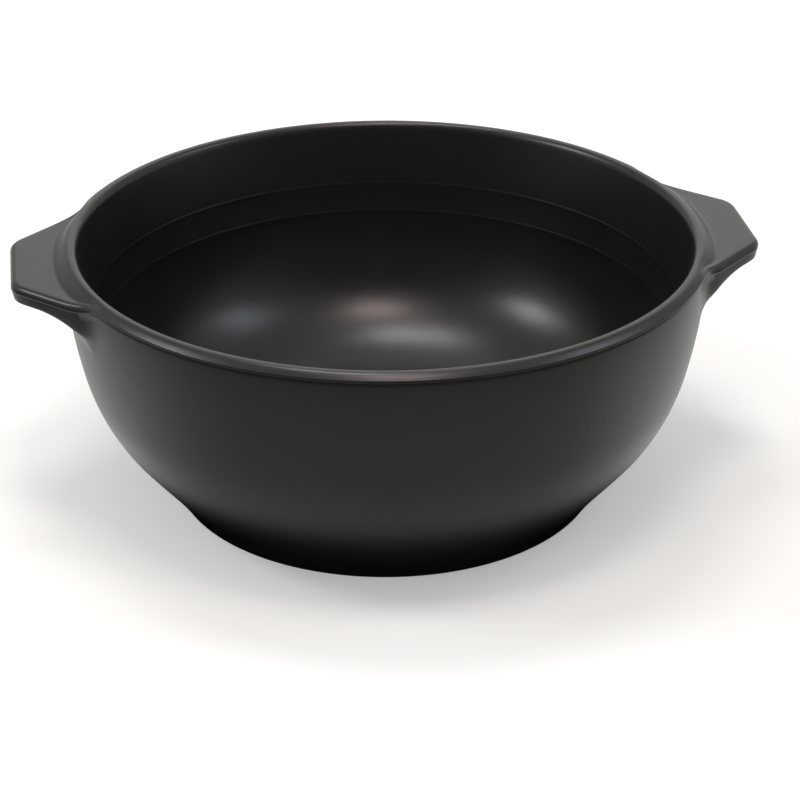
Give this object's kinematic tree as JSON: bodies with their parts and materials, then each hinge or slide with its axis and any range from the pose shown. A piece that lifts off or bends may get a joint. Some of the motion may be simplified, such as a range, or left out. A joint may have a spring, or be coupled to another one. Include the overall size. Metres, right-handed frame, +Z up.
{
  "type": "ceramic cocotte",
  "caption": "Round oven dish in black glazed stoneware, with a rounded lip, lug handles that flow out of it, ledges inside the mouth and a foot ring.",
  "frame": {"origin": "centre of the foot ring, on the surface that the pot stands on", "axes": "+Z up through the mouth, +X through the middle of one lug handle"},
  "size_m": [0.202, 0.1758, 0.0737],
  "materials": {
    "black_glaze": "satin"
  },
  "bodies": {
    "root": {"pot": "black_glaze"}
  },
  "joints": []
}
